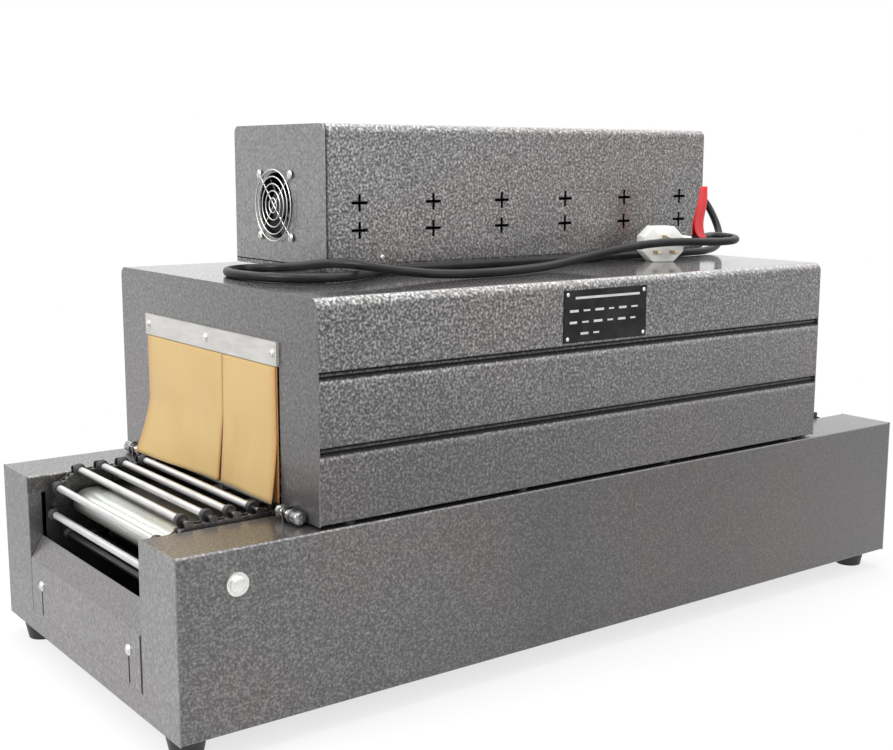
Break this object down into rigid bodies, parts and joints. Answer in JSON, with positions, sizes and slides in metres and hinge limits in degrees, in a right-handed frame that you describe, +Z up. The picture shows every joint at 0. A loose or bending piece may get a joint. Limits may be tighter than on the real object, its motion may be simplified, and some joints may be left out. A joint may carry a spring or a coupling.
{
  "type": "shrink tunnel",
  "caption": "Table-top shrink tunnel: a rod conveyor in a long low base, a heated hood with cloth curtains over its middle, and a control box with a fan and mains cord on the hood.",
  "frame": {"origin": "Under the middle of the base, on the surface that the rubber feet stand on.", "axes": "+X along the conveyor from the entry to the exit, +Y towards the side with the controls, +Z up."},
  "size_m": [1.05, 0.4704, 0.592],
  "materials": {
    "black_plastic": "black moulded plastic",
    "blanket": "ceramic fibre blanket, off-white",
    "bright_rod": "bright plated steel rod",
    "chain_steel": "oiled chain steel",
    "cloth": "tan glass cloth with a sheen",
    "cloth_rear": "tan glass cloth in shade",
    "controls": "dark moulded plastic",
    "cord": "black rubber-sheathed cord",
    "galvanised": "bright galvanised sheet",
    "hammertone": "dark grey hammertone paint, semi-gloss",
    "hammertone_ends": "grey hammertone paint, smoother",
    "heater": "heat-tinted steel sheath",
    "motor_paint": "cast aluminium, satin",
    "plate": "black anodised plate",
    "porcelain": "white porcelain, matt",
    "rubber": "matt black rubber",
    "steel": "plain steel, machined",
    "strip": "bright aluminium strip",
    "tag": "red tape",
    "white_plastic": "white moulded plastic",
    "zinc": "zinc plated"
  },
  "bodies": {
    "root": {"apron_entry": "hammertone_ends", "apron_exit": "hammertone_ends", "base_casing_back": "hammertone", "base_casing_front": "hammertone", "base_floor": "galvanised", "bed_pan": "galvanised", "cable_gland": "black_plastic", "chain_frame_back": "galvanised", "chain_frame_front": "galvanised", "chamber_liner": "galvanised", "clamp_strips": "strip", "control_box_shell": "hammertone", "control_end_cable": "hammertone_ends", "control_end_fan": "hammertone_ends", "control_floor": "galvanised", "conveyor_chain_back": "chain_steel", "conveyor_chain_front": "chain_steel", "conveyor_rods": "bright_rod", "cord_tag": "tag", "cross_bars": "steel", "drive_chain": "chain_steel", "end_frame_entry": "hammertone_ends", "end_frame_exit": "hammertone_ends", "fan_frame": "black_plastic", "fan_guard": "zinc", "flange_bearings": "zinc", "gear_motor": "motor_paint", "heater_holders": "porcelain", "hood_clamp_bolts": "zinc", "hood_end_entry": "hammertone_ends", "hood_end_exit": "hammertone_ends", "hood_shell": "hammertone", "hood_spacers": "zinc", "idler_shaft": "steel", "insulation": "blanket", "lower_heaters": "heater", "nameplate": "plate", "power_controls": "controls", "power_cord": "cord", "power_plug": "white_plastic", "rubber_feet": "rubber", "shaft_end_bolts": "zinc", "upper_heaters": "heater"},
    "drive_line": {"drive_shaft": "steel", "drive_sprockets": "chain_steel", "driven_sprocket": "chain_steel"},
    "idler_pair": {"idler_sprockets": "chain_steel"},
    "motor_line": {"motor_shaft": "steel", "motor_sprocket": "chain_steel"},
    "fan_wheel": {"fan_impeller": "black_plastic"},
    "entry_rear_flap": {"entry_flap_rear": "cloth_rear"},
    "entry_wide_flap": {"entry_flap_wide": "cloth"},
    "entry_narrow_flap": {"entry_flap_narrow": "cloth"},
    "exit_rear_flap": {"exit_flap_rear": "cloth_rear"},
    "exit_wide_flap": {"exit_flap_wide": "cloth"},
    "exit_narrow_flap": {"exit_flap_narrow": "cloth"},
    "power_switch": {"power_rocker": "black_plastic"},
    "speed_dial": {"speed_knob": "black_plastic"},
    "temperature_dial": {"temperature_knob": "black_plastic"}
  },
  "joints": [
    {"name": "drive_spin", "type": "hinge", "parent": "root", "child": "drive_line", "pos_m": [0.46355, 0, 0.1678], "axis": [0, 1, 0], "continuous": true},
    {"name": "idler_spin", "type": "hinge", "parent": "root", "child": "idler_pair", "pos_m": [-0.46355, 0, 0.1678], "axis": [0, 1, 0], "continuous": true},
    {"name": "motor_spin", "type": "hinge", "parent": "root", "child": "motor_line", "pos_m": [0.34344, 0, 0.074], "axis": [0, 1, 0], "continuous": true},
    {"name": "fan_spin", "type": "hinge", "parent": "root", "child": "fan_wheel", "pos_m": [-0.229, 0.0775, 0.5], "axis": [1, 0, 0], "continuous": true},
    {"name": "entry_rear_swing", "type": "hinge", "parent": "root", "child": "entry_rear_flap", "pos_m": [-0.37385, 0, 0.35108], "axis": [0, -1, 0], "range_deg": [-30, 70]},
    {"name": "entry_wide_swing", "type": "hinge", "parent": "root", "child": "entry_wide_flap", "pos_m": [-0.37385, 0, 0.35108], "axis": [0, -1, 0], "range_deg": [-30, 70]},
    {"name": "entry_narrow_swing", "type": "hinge", "parent": "root", "child": "entry_narrow_flap", "pos_m": [-0.37385, 0, 0.35108], "axis": [0, -1, 0], "range_deg": [-30, 70]},
    {"name": "exit_rear_swing", "type": "hinge", "parent": "root", "child": "exit_rear_flap", "pos_m": [0.36585, 0, 0.35108], "axis": [0, -1, 0], "range_deg": [-30, 70]},
    {"name": "exit_wide_swing", "type": "hinge", "parent": "root", "child": "exit_wide_flap", "pos_m": [0.36585, 0, 0.35108], "axis": [0, -1, 0], "range_deg": [-30, 70]},
    {"name": "exit_narrow_swing", "type": "hinge", "parent": "root", "child": "exit_narrow_flap", "pos_m": [0.36585, 0, 0.35108], "axis": [0, -1, 0], "range_deg": [-30, 70]},
    {"name": "power_toggle", "type": "hinge", "parent": "root", "child": "power_switch", "pos_m": [-0.15, 0.168, 0.53], "axis": [1, 0, 0], "range_deg": [0, 14]},
    {"name": "speed_turn", "type": "hinge", "parent": "root", "child": "speed_dial", "pos_m": [0.07, 0.177, 0.53], "axis": [0, 1, 0], "range_deg": [0, 270]},
    {"name": "temperature_turn", "type": "hinge", "parent": "root", "child": "temperature_dial", "pos_m": [-0.04, 0.177, 0.53], "axis": [0, 1, 0], "range_deg": [0, 300]}
  ],
  "couplings": [
    {"joint": "idler_spin", "follows": "drive_spin", "ratio": 1},
    {"joint": "motor_spin", "follows": "drive_spin", "ratio": 1},
    {"joint": "entry_wide_swing", "follows": "entry_rear_swing", "ratio": 1},
    {"joint": "entry_narrow_swing", "follows": "entry_rear_swing", "ratio": 1},
    {"joint": "exit_wide_swing", "follows": "exit_rear_swing", "ratio": 1},
    {"joint": "exit_narrow_swing", "follows": "exit_rear_swing", "ratio": 1}
  ]
}
